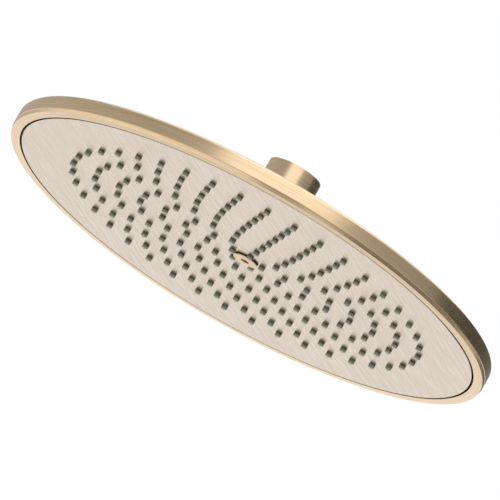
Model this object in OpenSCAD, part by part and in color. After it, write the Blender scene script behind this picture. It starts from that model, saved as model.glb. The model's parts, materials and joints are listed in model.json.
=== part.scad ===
// Round shower head for a ceiling or wall arm, 300 mm across.
// Z is the axis, up. The nozzle tips lie on z = 0 and the inlet opens upwards.

/* [Head] */
// outer diameter of the head
head_d = 300; // [280:1:340]
// height of the rim, from the face plate to the top of the rim
rim_h = 11.2; // [11:0.1:16]
// rise of the back from the rim to the neck's seat
crown_h = 5; // [4:0.5:8]
// sheet thickness of the back shell
shell_t = 1.2; // [0.8:0.1:1.5]
// radius of the rounded top edge of the rim
rim_round = 1.8; // [1:0.1:2.5]

/* [Rim ring] */
// width of the flat ring round the face plate
ring_w = 6.15; // [5:0.05:8]
// gap between the ring and the face plate
face_gap = 1.2; // [0.6:0.1:2]
// rise of the ring's face from its inner to its outer edge
ring_slope = 0.37; // [0:0.01:0.6]
// radial width of the bevel under the side wall
bevel_w = 0.55; // [0.3:0.05:1]
// height of the seam between the ring and the shell above the face plate
seam_h = 2.44; // [2.2:0.01:3]
// thickness of the ring's flat part
ring_t = 2.2; // [1.6:0.1:2.8]
// small chamfer on the edges beside the gap and the seam
edge_c = 0.25; // [0.1:0.05:0.4]
// height of the ring's spigot inside the shell
spigot_h = 5; // [3:0.5:6]

/* [Face plate] */
// thickness of the face plate
plate_t = 1.2; // [0.8:0.1:1.6]
// height of the plate's turned-up edge
plate_edge_h = 5; // [3:0.5:6]

/* [Nozzles] */
// number of rings of nozzles
nozzle_rings = 8; // [5:1:8]
// nozzles in the first ring, and added with each further ring
ring_count = 5; // [4:1:5]
// radius of the first ring
first_r = 10.18; // [10:0.01:11]
// step from one ring to the next
ring_step = 14.246; // [13:0.001:14.3]
// azimuth of the nozzle that all the rings share
nozzle_turn = -10.45; // [-36:0.05:36]
// outer diameter of a nozzle
nozzle_d = 3.65; // [3:0.05:4]
// height of a nozzle below the face plate
nozzle_h = 2.3; // [1.9:0.05:3]
// height of the tapered tip
tip_h = 0.55; // [0.3:0.05:0.9]
// diameter of the tip's flat end
tip_d = 2.3; // [1.6:0.1:2.8]
// diameter of the water jet's hole
jet_d = 1; // [0.6:0.1:1.2]
// diameter of the feed bore behind the jet's hole
feed_d = 2; // [1.4:0.1:2.4]
// length of the jet's hole
jet_l = 1.2; // [0.8:0.1:1.6]
// thickness of the silicone sheet
mat_t = 1.4; // [1:0.1:2]
// clearance of a nozzle in the face plate's hole, on the radius
nozzle_clear = 0.08; // [0.03:0.01:0.15]

/* [Centre screw] */
// diameter of the cap
cap_d = 15.1; // [13:0.1:16]
// thickness of the cap
cap_t = 0.62; // [0.5:0.01:1]
// chamfer round the cap
cap_c = 0.3; // [0.1:0.05:0.4]
// thickness of the washer under the cap
washer_t = 0.74; // [0.5:0.01:0.9]
// width across the flats of the hexagon socket
socket_w = 5; // [4:0.5:6]
// depth of the socket
socket_h = 1.9; // [1.2:0.1:2.1]
// diameter of the screw's thread
screw_d = 5; // [4:0.5:6]

/* [Water chamber] */
// width of the backing plate's skirt outside the chamber
skirt_w = 4.35; // [3:0.05:5]
// width of the chamber's solid rim
chamber_w = 11; // [10:0.5:12]
// thickness of the backing plate
backing_t = 2; // [1.5:0.1:2.4]
// height of the water space
water_h = 3; // [2:0.1:3.2]
// thickness of the upper plate
upper_t = 1.6; // [1.2:0.1:1.8]
// number of places for screws and nuts round the chamber, four to a nut
place_count = 24; // [16:4:28]

/* [Inlet] */
// outer diameter of the collar
collar_d = 31.9; // [30:0.1:34]
// height of the collar's top above the face plate
collar_top = 57.85; // [56:0.05:64]
// length of the collar
collar_l = 17.85; // [17:0.05:20]
// rounded edge of the collar
collar_round = 0.6; // [0.3:0.1:1]
// radius of the inlet thread's wall, for a half-inch pipe
inlet_r = 9.32; // [9.2:0.01:9.5]
// depth from the inlet's mouth to the filter washer's seat
inlet_h = 13.5; // [12:0.5:14]
// thickness of the filter washer
filter_t = 2.3; // [1.8:0.1:2.6]
// diameter of the neck's base
hub_d = 68; // [62:1:76]
// outer diameter of the feed tube
tube_d = 16; // [15:0.5:16.5]
// wall of the feed tube
tube_t = 2; // [1.5:0.1:2.2]

/* [Hidden] */
$fn = 72;
bronze = [0.80, 0.68, 0.50];
brass = [0.78, 0.62, 0.32];
steel = [0.72, 0.73, 0.74];
silicone = [0.62, 0.63, 0.58];
black = [0.10, 0.10, 0.10];
white_plastic = [0.86, 0.86, 0.84];
green_plastic = [0.30, 0.55, 0.40];

fit = 0.1;
head_r = head_d / 2;
face_z = nozzle_h;
rim_z = face_z + rim_h;
seam_z = face_z + seam_h;
seat_z = rim_z + crown_h;
hub_r = hub_d / 2;
dome_r = head_r - rim_round;

ring_in_r = head_r - ring_w;
bevel_r = head_r - bevel_w;
spigot_r = head_r - shell_t - fit;
spigot_t = 1.9;
plate_r = ring_in_r - face_gap;

mat_z = face_z + plate_t;
backing_z = mat_z + mat_t;
floor_z = backing_z + backing_t;
upper_z = floor_z + water_h;
lid_z = upper_z + upper_t;
skirt_r = plate_r - plate_t - fit;
chamber_r = skirt_r - skirt_w;
wall_r = chamber_r - chamber_w;
mat_r = wall_r - 1.5;
place_r = chamber_r - 3.6;
seal_r = wall_r + 2.6;
seal_d = 1.4;

cap_z = face_z - washer_t - cap_t;
hub_screw_r = 4.5;

gasket_t = 0.5;
neck_z = seat_z + gasket_t;
collar_r = collar_d / 2;
collar_z = face_z + collar_top;
foot_z = collar_z - collar_l;
neck_r = collar_r - 1.45;
neck_edge = 2;
thread_r = neck_r - 2.5;
seal_gap = 1.3;
neck_bore = thread_r - seal_gap - 0.3;
neck_screw_r = (neck_bore + hub_r) / 2 + 2;
ledge_t = 1.5;
sleeve_r = collar_r - 2.4;
mouth_z = collar_z - 0.5;
washer_z = mouth_z - inlet_h;
regulator_h = 3.5;
regulator_z = washer_z - regulator_h - 0.4;
regulator_r = 7.4;
stem_h = 10;
fitting_z = foot_z - stem_h;
shoulder_z = fitting_z - seal_gap;
tube_r = tube_d / 2;
water_r = tube_r - tube_t;
groove_t = 1.1;
groove_h = 1.6;
tube_top = fitting_z + 4.2;
boss_r = tube_r + 3.2;
boss_z = seat_z - 1.6;
tube_z = lid_z - upper_t + 0.4;
pocket_r = inlet_r + 0.4;
screen_t = 0.4;
pocket_z = washer_z + filter_t + screen_t + fit;

// points of a round corner
function corner(c, r, a0, a1, n) = [
    for (i = [0:n]) c + r * [cos(a0 + (a1 - a0) * i / n), sin(a0 + (a1 - a0) * i / n)]
];

// height of the back's outer face at a radius
function back_z(r) = rim_z + crown_h * (1 - pow(max(r - hub_r, 0) / (dome_r - hub_r), 2));

// radii at which the back's curve is drawn
function back_steps(n) = [for (i = [0:n]) dome_r + (hub_r - dome_r) * i / n];

// radius of one ring of nozzles
function nozzle_r(k) = first_r + ring_step * (k - 1);

// puts a copy at every nozzle
module each_nozzle() {
    for (k = [1:nozzle_rings])
        for (i = [0:ring_count * k - 1])
            rotate([0, 0, nozzle_turn + 360 * i / (ring_count * k)])
                translate([nozzle_r(k), 0, 0])
                    children();
}

// puts a copy at the places round the chamber, every fourth one being a nut's
module each_place(nuts) {
    for (i = [0:place_count - 1])
        if ((i % 4 == 0) == nuts)
            rotate([0, 0, 360 * i / place_count])
                translate([place_r, 0, 0])
                    children();
}

// puts a copy at each of the neck's screws
module each_neck_screw() {
    for (i = [0:5])
        rotate([0, 0, 30 + 60 * i])
            translate([neck_screw_r, 0, seat_z])
                children();
}

// flat ring
module ring(r_out, r_in, z, h) {
    translate([0, 0, z])
        difference() {
            cylinder(r = r_out, h = h);
            translate([0, 0, -1])
                cylinder(r = r_in, h = h + 2);
        }
}

// sealing ring of round section
module seal_ring(r, d, z) {
    translate([0, 0, z])
        rotate_extrude()
            translate([r, 0])
                circle(d = d, $fn = 24);
}

// spun back with its side wall and the studs that hold the chamber
module top_shell() {
    color(bronze) {
        difference() {
            spun_back();
            each_neck_screw()
                translate([0, 0, -shell_t - 1])
                    cylinder(d = 3.4, h = shell_t + 2);
        }
        each_place(true) {
            translate([0, 0, lid_z])
                cylinder(r = 3, h = back_z(place_r) - shell_t / 2 - lid_z);
            translate([0, 0, mat_z + 0.5])
                cylinder(d = 3, h = lid_z - mat_z);
        }
    }
}

// the back's sheet, from the side wall to the hole under the neck
module spun_back() {
    rotate_extrude()
        polygon(concat(
            [[head_r - edge_c, seam_z], [head_r, seam_z + edge_c]],
            corner([head_r - rim_round, rim_z - rim_round], rim_round, 0, 90, 8),
            [for (r = back_steps(12)) if (r < dome_r) [r, back_z(r)]],
            [[neck_bore + 3, seat_z], [neck_bore + 3, seat_z - shell_t]],
            [for (i = [12:-1:1]) let (r = back_steps(12)[i]) [r, back_z(r) - shell_t]],
            corner(
                [head_r - rim_round, rim_z - rim_round],
                max(rim_round - shell_t, 0.2), 90, 0, 4
            ),
            [[head_r - shell_t, seam_z]]
        ));
}

// ring round the face plate, with the bevel and the spigot inside the shell
module rim_ring() {
    color(bronze)
        rotate_extrude()
            polygon([
                [ring_in_r, face_z + edge_c],
                [ring_in_r + edge_c, face_z],
                [bevel_r, face_z + ring_slope],
                [head_r, seam_z - edge_c],
                [head_r - edge_c, seam_z],
                [spigot_r, seam_z],
                [spigot_r, seam_z + spigot_h],
                [spigot_r - spigot_t, seam_z + spigot_h],
                [spigot_r - spigot_t, face_z + ring_t],
                [ring_in_r, face_z + ring_t]
            ]);
}

// face plate with its turned-up edge and a hole for every nozzle
module face_plate() {
    color(bronze)
        difference() {
            rotate_extrude()
                polygon(concat(
                    [[0, face_z], [plate_r - edge_c, face_z], [plate_r, face_z + edge_c]],
                    [
                        [plate_r, face_z + plate_edge_h],
                        [plate_r - plate_t, face_z + plate_edge_h],
                        [plate_r - plate_t, mat_z],
                        [0, mat_z]
                    ]
                ));
            each_nozzle()
                translate([0, 0, face_z - 1])
                    cylinder(r = nozzle_d / 2 + nozzle_clear, h = plate_t + 2, $fn = 32);
            translate([0, 0, face_z - 1])
                cylinder(r = hub_screw_r + fit, h = plate_t + 2);
        }
}

// silicone sheet with all the nozzles in one piece
module nozzle_mat() {
    color(silicone)
        difference() {
            union() {
                ring(mat_r, hub_screw_r + 1.2, mat_z, mat_t);
                each_nozzle()
                    rotate_extrude($fn = 32)
                        polygon([
                            [0, 0],
                            [tip_d / 2, 0],
                            [nozzle_d / 2, tip_h],
                            [nozzle_d / 2, mat_z + mat_t / 2],
                            [0, mat_z + mat_t / 2]
                        ]);
            }
            each_nozzle() {
                translate([0, 0, -1])
                    cylinder(d = jet_d, h = jet_l + 2, $fn = 24);
                translate([0, 0, jet_l])
                    cylinder(d = feed_d, h = backing_z, $fn = 24);
            }
        }
}

// flanged screw in the middle of the face, with a hexagon socket
module centre_screw() {
    color(bronze)
        difference() {
            union() {
                rotate_extrude()
                    polygon([
                        [0, cap_z],
                        [cap_d / 2 - cap_c, cap_z],
                        [cap_d / 2, cap_z + cap_c],
                        [cap_d / 2, cap_z + cap_t],
                        [hub_screw_r, cap_z + cap_t],
                        [hub_screw_r, mat_z],
                        [0, mat_z]
                    ]);
                translate([0, 0, cap_z + socket_h + 0.3])
                    cylinder(d = screw_d, h = upper_z - cap_z - socket_h - 0.8);
            }
            translate([0, 0, cap_z - 1])
                rotate([0, 0, 30])
                    cylinder(d = socket_w / cos(30), h = socket_h + 1, $fn = 6);
        }
}

// soft washer between the cap and the face plate
module centre_washer() {
    color(black)
        ring(cap_d / 2 - 0.1, hub_screw_r + fit, face_z - washer_t, washer_t);
}

// threaded brass insert in the backing plate's pillar
module centre_insert() {
    color(brass)
        ring(screw_d / 2 + 1.5, screw_d / 2, backing_z + 0.2, upper_z - backing_z - 0.2);
}

// moulded plate behind the silicone sheet, with the chamber's wall and feed holes
module backing_plate() {
    color(white_plastic)
        difference() {
            union() {
                translate([0, 0, backing_z])
                    cylinder(r = skirt_r, h = backing_t);
                ring(skirt_r, wall_r - 1, mat_z, mat_t + 0.5);
                ring(chamber_r, wall_r, backing_z, upper_z - backing_z);
                translate([0, 0, backing_z])
                    cylinder(r = screw_d / 2 + 3.5, h = upper_z - backing_z);
                for (i = [0:ring_count - 1])
                    rotate([0, 0, nozzle_turn + 360 * (i + 0.5) / ring_count])
                        translate([first_r + ring_step * 3.5, 0, backing_z])
                            cylinder(d = 6, h = upper_z - backing_z);
            }
            each_nozzle()
                translate([0, 0, backing_z - 1])
                    cylinder(d = feed_d, h = backing_t + 2, $fn = 24);
            translate([0, 0, backing_z - 1])
                cylinder(r = screw_d / 2 + 1.5, h = upper_z);
            ring(seal_r + seal_d * 0.7, seal_r - seal_d * 0.7, upper_z - seal_d, seal_d + 1);
            each_place(false) {
                translate([0, 0, mat_z - 1])
                    cylinder(r = 3.1, h = 3);
                translate([0, 0, mat_z])
                    cylinder(r = 1.6, h = upper_z);
            }
            each_place(true) {
                translate([0, 0, mat_z - 1])
                    cylinder(r = 3.5, h = 3.6);
                translate([0, 0, mat_z])
                    cylinder(r = 1.6, h = upper_z);
            }
        }
}

// upper plate of the chamber, with the tube's boss and stiffening ribs
module chamber_plate() {
    color(white_plastic)
        difference() {
            union() {
                translate([0, 0, upper_z])
                    cylinder(r = chamber_r, h = upper_t);
                translate([0, 0, upper_z])
                    cylinder(r = boss_r, h = boss_z - upper_z);
                for (i = [0:11])
                    rotate([0, 0, 15 + 30 * i])
                        translate([boss_r - 1, -0.75, lid_z - 0.5])
                            cube([wall_r - boss_r - 4, 1.5, 1.5]);
            }
            translate([0, 0, tube_z])
                cylinder(r = tube_r + fit, h = boss_z);
            translate([0, 0, upper_z - 1])
                cylinder(r = water_r, h = upper_t + 2);
            each_place(false)
                translate([0, 0, upper_z - 1])
                    cylinder(r = 1.5, h = upper_t + 2);
            each_place(true)
                translate([0, 0, upper_z - 1])
                    cylinder(r = 1.6, h = upper_t + 2);
        }
}

// ring that seals the chamber
module chamber_seal() {
    color(black)
        seal_ring(seal_r, seal_d - 0.04, upper_z - seal_d / 2);
}

// screws that close the chamber, with sunk heads on the face's side
module chamber_screws() {
    color(steel)
        each_place(false)
            difference() {
                union() {
                    translate([0, 0, mat_z + 0.2])
                        cylinder(r = 2.75, h = 1.8);
                    translate([0, 0, mat_z + 1])
                        cylinder(r = 1.5, h = lid_z - mat_z - 1);
                }
                translate([0, 0, mat_z - 1])
                    cylinder(d = 2 / cos(30), h = 2.2, $fn = 6);
            }
}

// nuts on the shell's studs
module stud_nuts() {
    color(steel)
        each_place(true)
            difference() {
                translate([0, 0, mat_z + 0.2])
                    cylinder(d = 5.5 / cos(30), h = 2.4, $fn = 6);
                translate([0, 0, mat_z - 1])
                    cylinder(d = 3, h = 5);
            }
}

// turned neck that flares out to the back
module inlet_neck() {
    color(bronze)
        difference() {
            rotate_extrude()
                polygon(concat(
                    [[neck_bore, neck_z], [hub_r, neck_z], [hub_r, neck_z + neck_edge - 0.4]],
                    [
                        for (i = [0:12]) let (a = 90 - 90 * i / 12)
                            [
                                hub_r - 0.4 - (hub_r - 0.4 - neck_r) * cos(a),
                                foot_z - (foot_z - neck_z - neck_edge) * sin(a)
                            ]
                    ],
                    [
                        [thread_r, foot_z],
                        [thread_r, shoulder_z],
                        [neck_bore, shoulder_z]
                    ]
                ));
            each_neck_screw()
                cylinder(d = 3, h = gasket_t + 2.5);
        }
}

// gasket between the neck and the back
module neck_gasket() {
    color(black)
        difference() {
            ring(hub_r - 1, neck_bore + 3, seat_z, gasket_t);
            each_neck_screw()
                translate([0, 0, -1])
                    cylinder(d = 3.4, h = gasket_t + 2);
        }
}

// screws that hold the neck from inside the shell
module neck_screws() {
    color(steel)
        each_neck_screw()
            difference() {
                union() {
                    translate([0, 0, -shell_t - 1.8])
                        cylinder(r = 2.75, h = 1.8);
                    translate([0, 0, -shell_t - 1])
                        cylinder(d = 3, h = shell_t + gasket_t + 3);
                }
                translate([0, 0, -shell_t - 3])
                    cylinder(d = 2 / cos(30), h = 2.2, $fn = 6);
            }
}

// plain sleeve round the inlet
module inlet_collar() {
    color(bronze)
        rotate_extrude()
            polygon(concat(
                [[thread_r + fit, foot_z], [collar_r - 0.3, foot_z], [collar_r, foot_z + 0.3]],
                corner(
                    [collar_r - collar_round, collar_z - collar_round],
                    collar_round, 0, 90, 5
                ),
                [
                    [sleeve_r, collar_z],
                    [sleeve_r, foot_z + ledge_t],
                    [thread_r + fit, foot_z + ledge_t]
                ]
            ));
}

// brass fitting with the inlet thread, the regulator's seat and the tube's socket
module inlet_fitting() {
    color(brass)
        rotate_extrude()
            polygon([
                [tube_r + fit, fitting_z],
                [thread_r, fitting_z],
                [thread_r, foot_z + ledge_t],
                [sleeve_r - fit, foot_z + ledge_t],
                [sleeve_r - fit, mouth_z - 0.3],
                [sleeve_r - fit - 0.3, mouth_z],
                [inlet_r + 0.8, mouth_z],
                [inlet_r, mouth_z - 0.8],
                [inlet_r, pocket_z],
                [pocket_r, pocket_z],
                [pocket_r, washer_z],
                [regulator_r + fit, washer_z],
                [regulator_r + fit, regulator_z],
                [water_r, regulator_z],
                [water_r, tube_top],
                [tube_r + fit, tube_top]
            ]);
}

// ring that seals the fitting in the neck
module fitting_seal() {
    color(black)
        seal_ring((neck_bore + thread_r) / 2, fitting_z - shoulder_z - 0.04, (fitting_z + shoulder_z) / 2);
}

// tube between the fitting and the chamber, grooved for its two seals
module feed_tube() {
    color(brass)
        difference() {
            ring(tube_r, water_r, tube_z, tube_top - tube_z);
            for (z = [boss_z - 4, fitting_z + 1.2])
                ring(tube_r + 1, tube_r - groove_t, z, groove_h);
        }
}

// the tube's two seals
module tube_seals() {
    color(black)
        for (z = [boss_z - 4, fitting_z + 1.2])
            seal_ring(tube_r + (fit - groove_t) / 2, groove_t + fit - 0.04, z + groove_h / 2);
}

// disc that limits the flow
module flow_regulator() {
    color(green_plastic)
        difference() {
            translate([0, 0, regulator_z])
                cylinder(r = regulator_r, h = regulator_h);
            ring(5.4, 3.2, regulator_z + regulator_h - 1.3, 2);
            for (i = [0:7])
                rotate([0, 0, 45 * i])
                    translate([4.3, 0, regulator_z - 1])
                        cylinder(d = 1.2, h = regulator_h + 2, $fn = 24);
        }
}

// soft ring in the regulator
module regulator_seal() {
    color(black)
        seal_ring(4.3, 1.2, regulator_z + regulator_h - 0.69);
}

// washer in the pocket under the inlet thread
module filter_washer() {
    color(black)
        ring(pocket_r - fit, 6.2, washer_z, filter_t);
}

// screen that keeps grit out
module filter_screen() {
    color(steel)
        difference() {
            translate([0, 0, washer_z + filter_t])
                cylinder(r = inlet_r - 0.5, h = screen_t);
            for (k = [0:3])
                for (i = [0:max(6 * k - 1, 0)])
                    rotate([0, 0, k == 0 ? 0 : 60 * i / k])
                        translate([1.55 * k, 0, washer_z + filter_t - 1])
                            cylinder(d = 0.9, h = screen_t + 2, $fn = 16);
        }
}

top_shell();
rim_ring();
face_plate();
nozzle_mat();
centre_screw();
centre_washer();
centre_insert();
backing_plate();
chamber_plate();
chamber_seal();
chamber_screws();
stud_nuts();
inlet_neck();
neck_gasket();
neck_screws();
inlet_collar();
inlet_fitting();
fitting_seal();
feed_tube();
tube_seals();
flow_regulator();
regulator_seal();
filter_washer();
filter_screen();
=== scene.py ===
import bpy
import json
import math
from mathutils import Matrix, Vector


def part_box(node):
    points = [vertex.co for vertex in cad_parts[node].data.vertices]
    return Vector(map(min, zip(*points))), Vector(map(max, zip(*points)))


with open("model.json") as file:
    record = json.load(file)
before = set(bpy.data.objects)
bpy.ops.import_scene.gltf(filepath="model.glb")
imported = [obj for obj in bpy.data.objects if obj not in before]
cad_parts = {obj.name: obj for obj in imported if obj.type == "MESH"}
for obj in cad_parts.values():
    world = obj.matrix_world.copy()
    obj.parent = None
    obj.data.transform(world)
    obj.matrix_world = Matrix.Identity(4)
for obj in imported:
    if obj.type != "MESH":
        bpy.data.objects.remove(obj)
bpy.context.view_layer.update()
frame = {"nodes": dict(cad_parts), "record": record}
nodes = frame["nodes"]
scene = bpy.context.scene
scene.view_settings.view_transform = "Standard"
print("frame loaded:", len(nodes), "nodes")


def plainColour(red, green, blue):
    # a colour as read on a screen, 0 to 255, to the shader's own scale
    def level(v):
        v = v / 255
        return v / 12.92 if v <= 0.04045 else ((v + 0.055) / 1.055) ** 2.4
    return (level(red), level(green), level(blue), 1)


class Sock:
    # one shader socket, with arithmetic that adds Math nodes
    def __init__(self, tree, out=None):
        self.tree = tree
        self.out = out

    def node(self, kind, settings=None, values=None, out=0):
        made = self.tree.nodes.new(kind)
        for name, value in (settings or {}).items():
            if name == "stops":
                ramp = made.color_ramp
                while len(ramp.elements) > 1:
                    ramp.elements.remove(ramp.elements[0])
                for n, (place, colour) in enumerate(value):
                    stop = ramp.elements[0] if n == 0 else ramp.elements.new(place)
                    stop.position = place
                    stop.color = colour if isinstance(colour, tuple) else (colour, colour, colour, 1)
            elif name == "blend":
                made.color_ramp.interpolation = value
            else:
                setattr(made, name, value)
        for name, value in (values or {}).items():
            if isinstance(value, Sock):
                self.tree.links.new(value.out, made.inputs[name])
            else:
                made.inputs[name].default_value = value
        return Sock(self.tree, made.outputs[out] if made.outputs else None)

    def maths(self, how, *terms):
        return self.node("ShaderNodeMath", {"operation": how}, dict(enumerate(terms)))

    def __add__(self, other):
        return self.maths("ADD", self, other)

    def __radd__(self, other):
        return self.maths("ADD", other, self)

    def __sub__(self, other):
        return self.maths("SUBTRACT", self, other)

    def __rsub__(self, other):
        return self.maths("SUBTRACT", other, self)

    def __mul__(self, other):
        return self.maths("MULTIPLY", self, other)

    def __rmul__(self, other):
        return self.maths("MULTIPLY", other, self)

    def __truediv__(self, other):
        return self.maths("DIVIDE", self, other)

    def __rtruediv__(self, other):
        return self.maths("DIVIDE", other, self)

    def ramp(self, start, end):
        # 0 at start, 1 at end, held beyond them
        return self.node("ShaderNodeMapRange", {"interpolation_type": "SMOOTHSTEP"},
                         {"Value": self, "From Min": start, "From Max": end})

    def mix(self, other, share):
        # colours mixed by a share
        return self.node("ShaderNodeMix", {"data_type": "RGBA"}, {0: share, 6: self, 7: other}, 2)


def newMaterial(name):
    made = bpy.data.materials.new(name)
    made.use_nodes = True
    made.node_tree.nodes.clear()
    return made, Sock(made.node_tree)


def finishMaterial(net, values):
    # one Principled shader on the output
    skin = net.node("ShaderNodeBsdfPrincipled", None, values)
    net.node("ShaderNodeOutputMaterial", None, {"Surface": skin})


def place(net):
    return net.node("ShaderNodeTexCoord", None, None, "Object")


def parts(net, vector):
    split = net.node("ShaderNodeSeparateXYZ", None, {"Vector": vector})
    node = split.out.node
    return [Sock(net.tree, node.outputs[n]) for n in range(3)]


def joined(net, x, y, z):
    return net.node("ShaderNodeCombineXYZ", None, {"X": x, "Y": y, "Z": z})


def giveMaterial(piece, material):
    piece.data.materials.clear()
    piece.data.materials.append(material)


# brushed face plate
plateLook = {
    "colour": plainColour(224, 208, 190),
    "pale": plainColour(233, 219, 203),
    "dark": plainColour(217, 200, 181),
    "brushAngle": 62,
    "fineLines": (70, 1500),     # noise scale along and across the brushing
    "broadLines": (28, 420),
    "roughness": 0.26,
    "bump": 0.10,
}
bumpDepth = 0.00005


def brushedPlate(name, look):
    material, net = newMaterial(name)
    turned = net.node("ShaderNodeMapping", {"vector_type": "POINT"}, {
        "Vector": place(net), "Rotation": (0, 0, math.radians(-look["brushAngle"]))})
    x, y, z = parts(net, turned)
    fine = net.node("ShaderNodeTexNoise", {"noise_dimensions": "2D"}, {
        "Vector": joined(net, x * look["fineLines"][0], y * look["fineLines"][1], 0),
        "Scale": 1.0, "Detail": 3.0, "Roughness": 0.6})
    broad = net.node("ShaderNodeTexNoise", {"noise_dimensions": "2D"}, {
        "Vector": joined(net, x * look["broadLines"][0], y * look["broadLines"][1], 0),
        "Scale": 1.0, "Detail": 2.0, "Roughness": 0.5})
    cloud = net.node("ShaderNodeTexNoise", {"noise_dimensions": "3D"}, {
        "Vector": place(net), "Scale": 18.0, "Detail": 2.0})
    streak = (fine * 0.6 + broad * 0.4).ramp(0.36, 0.64)
    tone = net.node("ShaderNodeValToRGB", {"stops": [
        (0.0, look["dark"]), (0.45, look["colour"]), (0.7, look["colour"]), (1.0, look["pale"])]},
        {"Fac": streak})
    roughness = look["roughness"] + (fine - 0.5) * 0.10 + (cloud - 0.5) * 0.06
    bump = net.node("ShaderNodeBump", None, {"Strength": look["bump"], "Distance": bumpDepth, "Height": fine})
    finishMaterial(net, {"Base Color": tone, "Metallic": 1.0, "Roughness": roughness, "Normal": bump})
    return material


# turned and satined bronze of the ring, the wall and the back
bronzeLook = {
    "colour": plainColour(238, 210, 172),
    "pale": plainColour(243, 218, 184),
    "dark": plainColour(228, 198, 158),
    "roughness": 0.25,
    "bump": 0.08,
}


def turnedBronze(name, look, lines=2600, arc=22):
    material, net = newMaterial(name)
    x, y, z = parts(net, place(net))
    radius = net.maths("SQRT", x * x + y * y)
    fine = net.node("ShaderNodeTexNoise", {"noise_dimensions": "4D"}, {
        "Vector": joined(net, x * arc, y * arc, z * lines), "W": radius * lines,
        "Scale": 1.0, "Detail": 2.0, "Roughness": 0.6})
    cloud = net.node("ShaderNodeTexNoise", {"noise_dimensions": "3D"}, {
        "Vector": place(net), "Scale": 30.0, "Detail": 2.0})
    streak = fine.ramp(0.34, 0.66)
    tone = net.node("ShaderNodeValToRGB", {"stops": [
        (0.0, look["dark"]), (0.4, look["colour"]), (0.7, look["colour"]), (1.0, look["pale"])]},
        {"Fac": streak})
    roughness = look["roughness"] + (fine - 0.5) * 0.08 + (cloud - 0.5) * 0.05
    bump = net.node("ShaderNodeBump", None, {"Strength": bronzeLook["bump"], "Distance": bumpDepth, "Height": fine})
    finishMaterial(net, {"Base Color": tone, "Metallic": 1.0, "Roughness": roughness, "Normal": bump})
    return material


# soft grey nozzles; the dark foot is painted shade (the contact shadow at the base) and the pale tip is a painted
# highlight (the lit chamfer)
siliconeLook = {
    # painted shade: the contact shadow at the nozzle's base
    "paintedShadeFoot": plainColour(76, 70, 58),
    "wall": plainColour(146, 142, 128),
    # painted highlight: the chamfer at the tip, lit from below
    "tip": plainColour(214, 209, 196),
    "green": plainColour(120, 150, 138),
    "height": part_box("face_plate")[0][2],
    "roughness": 0.42,
}


def nozzleSilicone(name, look):
    material, net = newMaterial(name)
    x, y, z = parts(net, place(net))
    # colour by height: painted shade at the foot, plain grey wall, painted highlight at the tip
    height = net.node("ShaderNodeValToRGB", {"stops": [
        (0.0, look["tip"]), (0.2, look["wall"]), (0.55, look["wall"]), (0.9, look["paintedShadeFoot"])]},
        {"Fac": z / look["height"]})
    each = net.node("ShaderNodeTexNoise", {"noise_dimensions": "2D"}, {
        "Vector": place(net), "Scale": 140.0, "Detail": 0.0})
    tone = height.mix(look["green"], each.ramp(0.60, 0.78) * 0.35)
    grain = net.node("ShaderNodeTexNoise", {"noise_dimensions": "3D"}, {
        "Vector": place(net), "Scale": 2200.0, "Detail": 2.0})
    bump = net.node("ShaderNodeBump", None, {"Strength": 0.15, "Distance": bumpDepth, "Height": grain})
    finishMaterial(net, {"Base Color": tone, "Roughness": look["roughness"] + (grain - 0.5) * 0.2, "Normal": bump})
    return material


# moulded and rubber parts inside the head
def mouldedPlastic(name, colour, shade, roughness, grainScale=900.0):
    material, net = newMaterial(name)
    grain = net.node("ShaderNodeTexNoise", {"noise_dimensions": "3D"}, {
        "Vector": place(net), "Scale": grainScale, "Detail": 3.0})
    cloud = net.node("ShaderNodeTexNoise", {"noise_dimensions": "3D"}, {
        "Vector": place(net), "Scale": 60.0, "Detail": 2.0})
    tone = net.node("ShaderNodeValToRGB", {"stops": [(0.3, shade), (0.7, colour)]},
                    {"Fac": cloud * 0.6 + grain * 0.4})
    bump = net.node("ShaderNodeBump", None, {"Strength": 0.2, "Distance": bumpDepth, "Height": grain})
    finishMaterial(net, {"Base Color": tone, "Roughness": roughness + (grain - 0.5) * 0.15, "Normal": bump})
    return material


bronze = turnedBronze("turnedBronze", bronzeLook)
collarBronze = turnedBronze("collarBronze", bronzeLook, 3400, 60)
plateBronze = brushedPlate("brushedPlate", plateLook)
capBronze = turnedBronze("capBronze", {**bronzeLook, "roughness": 0.3}, 3400, 60)
silicone = nozzleSilicone("nozzleSilicone", siliconeLook)
blackRubber = mouldedPlastic("blackRubber", plainColour(34, 33, 32), plainColour(22, 21, 21), 0.6)
whitePlastic = mouldedPlastic("whitePlastic", plainColour(232, 232, 228), plainColour(222, 222, 216), 0.45)
greenPlastic = mouldedPlastic("greenPlastic", plainColour(112, 172, 132), plainColour(98, 158, 118), 0.4)
turnedBrass = turnedBronze("turnedBrass", {
    "colour": plainColour(232, 205, 140), "pale": plainColour(240, 216, 156),
    "dark": plainColour(218, 188, 120), "roughness": 0.28}, 3000, 50)
plainSteel = turnedBronze("plainSteel", {
    "colour": plainColour(212, 213, 214), "pale": plainColour(224, 225, 226),
    "dark": plainColour(196, 197, 199), "roughness": 0.3}, 3000, 50)

slotMaterials = {
    "bronze": bronze, "brass": turnedBrass, "steel": plainSteel, "silicone": silicone,
    "black_rubber": blackRubber, "white_plastic": whitePlastic, "green_plastic": greenPlastic}
ownMaterials = {
    "face_plate": plateBronze, "inlet_collar": collarBronze, "inlet_neck": collarBronze,
    "centre_screw": capBronze}
for entry in frame["record"]["subparts"]:
    name = entry["node"]
    giveMaterial(nodes[name], ownMaterials.get(name, slotMaterials[entry["material_slot"]]))
print("materials given to", len(nodes), "nodes")

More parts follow.
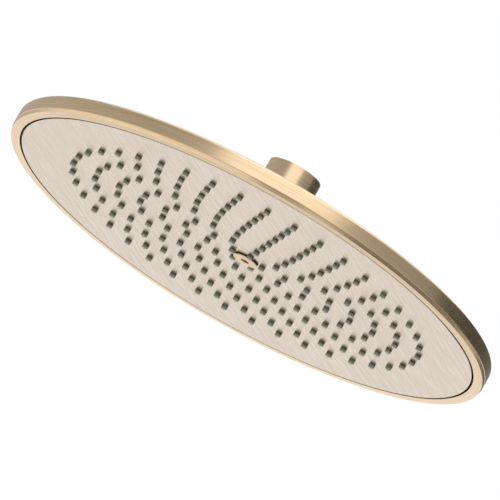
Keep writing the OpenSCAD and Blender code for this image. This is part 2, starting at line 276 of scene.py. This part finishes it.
# studio: floor, surround and lights
studio = {
    "floorHeight": -3.4, "floorRadius": 9.0,
    "fill": 0.75,     # the world's strength on the matt surfaces
}
bpy.ops.object.select_all(action="DESELECT")
bpy.ops.mesh.primitive_circle_add(vertices=96, radius=studio["floorRadius"], fill_type="NGON",
                                  location=(0, 0, studio["floorHeight"]))
floor = bpy.context.object
floor.name = "floor"
floorPaint, net = newMaterial("floorPaint")
grain = net.node("ShaderNodeTexNoise", {"noise_dimensions": "3D"}, {
    "Vector": place(net), "Scale": 3.0, "Detail": 2.0})
paint = net.node("ShaderNodeBsdfDiffuse", None, {
    "Color": net.node("ShaderNodeValToRGB", {"stops": [(0.0, 0.93), (1.0, 0.95)]}, {"Fac": grain})})
clear = net.node("ShaderNodeBsdfTransparent")
below = net.node("ShaderNodeNewGeometry", None, None, "Backfacing")
net.node("ShaderNodeOutputMaterial", None, {
    "Surface": net.node("ShaderNodeMixShader", None, {0: below, 1: paint, 2: clear})})
giveMaterial(floor, floorPaint)


def addCard(name, card):
    # a curved card round the object, from one azimuth to another, seen in the metal alone
    bpy.ops.object.select_all(action="DESELECT")
    tall = card["high"] - card["low"]
    bpy.ops.mesh.primitive_cylinder_add(vertices=144, radius=card["radius"], depth=tall,
                                        end_fill_type="NOTHING", location=(0, 0, card["low"] + tall / 2))
    made = bpy.context.object
    made.name = name
    bpy.ops.object.transform_apply(location=True, rotation=False, scale=False)
    bpy.ops.object.mode_set(mode="EDIT")
    bpy.ops.mesh.select_mode(type="FACE")
    bpy.ops.mesh.select_all(action="DESELECT")
    bpy.ops.object.mode_set(mode="OBJECT")
    for face in made.data.polygons:
        azimuth = math.degrees(math.atan2(face.center.x, -face.center.y))
        face.select = not card["from"] <= azimuth <= card["to"]
    bpy.ops.object.mode_set(mode="EDIT")
    bpy.ops.mesh.delete(type="FACE")
    bpy.ops.object.mode_set(mode="OBJECT")
    paint, net = newMaterial(name + "Paint")
    x, y, z = parts(net, place(net))
    turn = net.maths("ARCTAN2", x, 0 - y) * (180 / math.pi)
    spread = card["to"] - card["from"]
    share = (turn - card["from"]) / spread
    stops = [((azimuth - card["from"]) / spread, level) for azimuth, level in card["levels"]]
    level = net.node("ShaderNodeValToRGB", {"stops": stops}, {"Fac": share})
    net.node("ShaderNodeOutputMaterial", None, {
        "Surface": net.node("ShaderNodeEmission", None, {"Color": level, "Strength": card.get("gain", 1.0)})})
    paint.cycles.emission_sampling = "NONE"
    giveMaterial(made, paint)
    made.visible_camera = made.visible_diffuse = made.visible_shadow = made.visible_transmission = False


addCard("upperCard", {
    "radius": 1.3, "low": 0.0, "high": 1.15, "from": -180, "to": 180, "gain": 1.3,
    "levels": [(-180, 0.35), (-150, 0.37), (-110, 0.36), (-60, 0.31), (-34, 0.33), (-25, 0.95),
               (22, 0.92), (28, 0.36), (50, 0.27), (78, 0.25), (86, 0.07), (125, 0.06), (150, 0.12), (180, 0.35)]})
addCard("lowerCard", {
    "radius": 1.3, "low": -0.85, "high": -0.08, "from": -12, "to": 135,
    "levels": [(-12, 0.45), (-6, 0.35), (8, 0.40), (14, 0.7), (24, 0.55), (32, 0.2), (120, 0.14),
               (135, 0.3)]})

world = bpy.data.worlds.new("studioWorld")
scene.world = world
world.use_nodes = True
world.node_tree.nodes.clear()
net = Sock(world.node_tree)
ray = net.node("ShaderNodeLightPath")
rayNames = ("Is Camera Ray", "Is Glossy Ray", "Is Transmission Ray")
rays = [Sock(net.tree, ray.out.node.outputs[n]) for n in rayNames]
seen = net.maths("MINIMUM", rays[0] + rays[1] + rays[2], 1.0)
strength = studio["fill"] + seen * (1 - studio["fill"])
net.node("ShaderNodeOutputWorld", None, {
    "Surface": net.node("ShaderNodeBackground", None, {"Color": (1, 1, 1, 1), "Strength": strength})})


def addLamp(name, azimuth, elevation, distance, width, height, power):
    # a softbox that faces the object, its azimuth counted from the camera's side
    a, e = math.radians(azimuth), math.radians(elevation)
    at = Vector((math.sin(a) * math.cos(e), -math.cos(a) * math.cos(e), math.sin(e))) * distance
    bpy.ops.object.light_add(type="AREA", location=at)
    lamp = bpy.context.object
    lamp.name = name
    lamp.data.shape = "RECTANGLE"
    lamp.data.size, lamp.data.size_y = width, height
    lamp.data.energy = power
    lamp.rotation_euler = at.to_track_quat("Z", "Y").to_euler()
    return lamp


addLamp("topSoftbox", 10, 62, 2.4, 2.2, 2.2, 9)
frontLamp = addLamp("frontSoftbox", -20, 30, 2.4, 1.2, 1.2, 3)
frontLamp.visible_glossy = False
print("studio ready")

# camera at the photograph's angle: low on the -Y side, rolled
shot = {"below": 15.13, "roll": 29.738, "distance": 13.1, "width": 0.2783, "target": (-0.000605, 0, 0.00808)}
e, r = math.radians(shot["below"]), math.radians(shot["roll"])
across, upward = Vector((1, 0, 0)), Vector((0, -math.sin(e), math.cos(e)))
back = Vector((0, -math.cos(e), -math.sin(e)))
right = across * math.cos(r) + upward * math.sin(r)
up = upward * math.cos(r) - across * math.sin(r)
bpy.ops.object.camera_add()
camera = bpy.context.object
camera.name = "camera"
camera.data.sensor_width = 36
camera.data.lens = 36 * shot["distance"] / shot["width"]
camera.data.clip_end = 60
camera.matrix_world = Matrix.Translation(Vector(shot["target"]) + back * shot["distance"]) @ \
    Matrix((right, up, back)).transposed().to_4x4()
scene.camera = camera
print("camera set")
